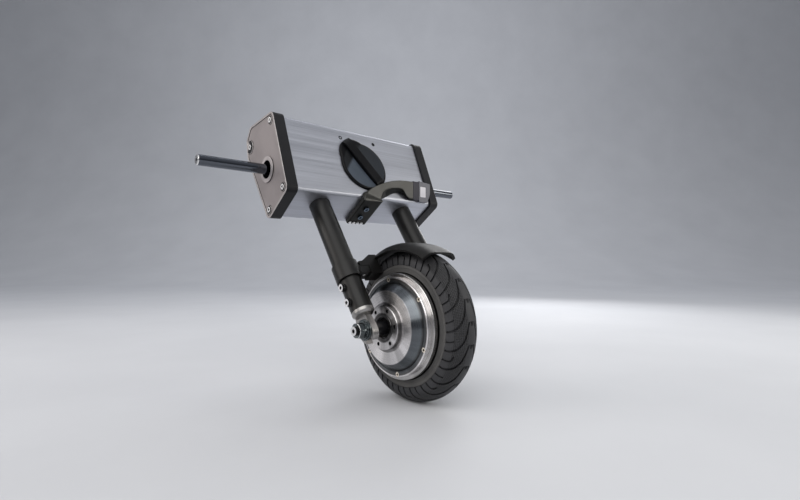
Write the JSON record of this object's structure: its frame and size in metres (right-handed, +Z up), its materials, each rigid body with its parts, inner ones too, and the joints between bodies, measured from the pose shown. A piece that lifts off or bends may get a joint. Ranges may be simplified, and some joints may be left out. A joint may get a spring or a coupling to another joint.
{
  "type": "powered drive wheel for a wheelchair",
  "caption": "Clip-on powered drive wheel for a wheelchair: hub-motor wheel in a two-leg fork under a housing whose knob draws coaxial docking pins in and out.",
  "frame": {"origin": "middle of the docking pins' axis, halfway between their tips", "axes": "+X along the docking pins to the right as seen from the front, +Y to the back, +Z up"},
  "size_m": [0.5, 0.3341, 0.4144],
  "materials": {
    "housing_aluminium": "brushed along its length and anodised",
    "cap_paint": "satin black powder coat",
    "seal_rubber": "matt",
    "zinc_steel": "bright zinc plate",
    "bush_plastic": "fine grain",
    "pin_steel": "ground and polished",
    "gear_steel": "machined",
    "carrier_aluminium": "milled",
    "knob_plastic": "satin moulded",
    "bush_bronze": "sintered bronze",
    "board_green": "solder mask",
    "leg_paint": "satin black",
    "tongue_steel": "machined bright",
    "nut_steel": "nickel plate",
    "spacer_black": "black oxide",
    "fender_plastic": "smooth moulded",
    "arm_paint": "satin black",
    "plug_plastic": "fine grain",
    "shell_plastic": "light grey moulded",
    "contact_brass": "gold plate",
    "core_steel": "laminated",
    "winding_copper": "enamelled copper",
    "magnet_nickel": "nickel plate",
    "rim_polish": "polished aluminium",
    "hub_aluminium": "turned and polished",
    "screw_brass": "yellow zinc plate",
    "tyre_rubber": "moulded"
  },
  "bodies": {
    "frame": {"housing": "housing_aluminium", "end_cap_left": "cap_paint", "end_cap_right": "cap_paint", "cap_seal_left": "seal_rubber", "cap_seal_right": "seal_rubber", "end_screws_left": "zinc_steel", "end_screws_right": "zinc_steel", "pin_bush_left": "bush_plastic", "pin_bush_right": "bush_plastic", "spindle_bush": "bush_bronze", "guide_plate": "carrier_aluminium", "guide_posts": "zinc_steel", "controller_plate": "carrier_aluminium", "controller_board": "board_green", "leg_socket_left": "carrier_aluminium", "leg_socket_right": "carrier_aluminium", "socket_bolts": "zinc_steel", "upper_leg_left": "leg_paint", "upper_leg_right": "leg_paint", "lower_leg_left": "leg_paint", "lower_leg_right": "leg_paint", "leg_screws_left": "zinc_steel", "leg_screws_right": "zinc_steel", "axle_tongue_left": "tongue_steel", "axle_tongue_right": "tongue_steel", "fender_clamp_left": "leg_paint", "fender_clamp_right": "leg_paint", "clamp_screws": "zinc_steel", "fender": "fender_plastic", "arm": "arm_paint", "arm_screws": "zinc_steel", "arm_nut_plate": "carrier_aluminium", "plug_block": "plug_plastic", "connector_shell": "shell_plastic", "contact_pins": "contact_brass", "axle": "tongue_steel", "axle_nuts": "nut_steel", "axle_washers": "nut_steel", "axle_spacers": "spacer_black", "bearings": "gear_steel", "stator_core": "core_steel", "stator_windings": "winding_copper"},
    "wheel": {"rotor_rim": "rim_polish", "rotor_magnets": "magnet_nickel", "hub_cover_left": "hub_aluminium", "hub_cover_right": "hub_aluminium", "cover_screw_set": "screw_brass", "tyre": "tyre_rubber"},
    "knob_body": {"knob": "knob_plastic", "knob_spindle": "gear_steel", "drive_pinion": "gear_steel", "spindle_clip": "zinc_steel"},
    "pin_left_body": {"docking_pin_left": "pin_steel", "pin_rack_left": "gear_steel", "pin_carrier_left": "carrier_aluminium", "carrier_screws_left": "zinc_steel"},
    "pin_right_body": {"docking_pin_right": "pin_steel", "pin_rack_right": "gear_steel", "pin_carrier_right": "carrier_aluminium", "carrier_screws_right": "zinc_steel"}
  },
  "joints": [
    {"name": "wheel_spin", "type": "hinge", "parent": "frame", "child": "wheel", "pos_m": [0, -0.15379, -0.22378], "axis": [1, 0, 0], "continuous": true},
    {"name": "knob_turn", "type": "hinge", "parent": "frame", "child": "knob_body", "pos_m": [0, -0.03611, 0.01926], "axis": [0, 0.9304, -0.3665], "range_deg": [0, 69]},
    {"name": "pin_left", "type": "slide", "parent": "frame", "child": "pin_left_body", "axis": [1, 0, 0], "range_m": [0, 0.04]},
    {"name": "pin_right", "type": "slide", "parent": "frame", "child": "pin_right_body", "axis": [-1, 0, 0], "range_m": [0, 0.04]}
  ],
  "couplings": [
    {"joint": "pin_left", "follows": "knob_turn", "m_per_rad": 0.033},
    {"joint": "pin_right", "follows": "knob_turn", "m_per_rad": 0.033}
  ]
}
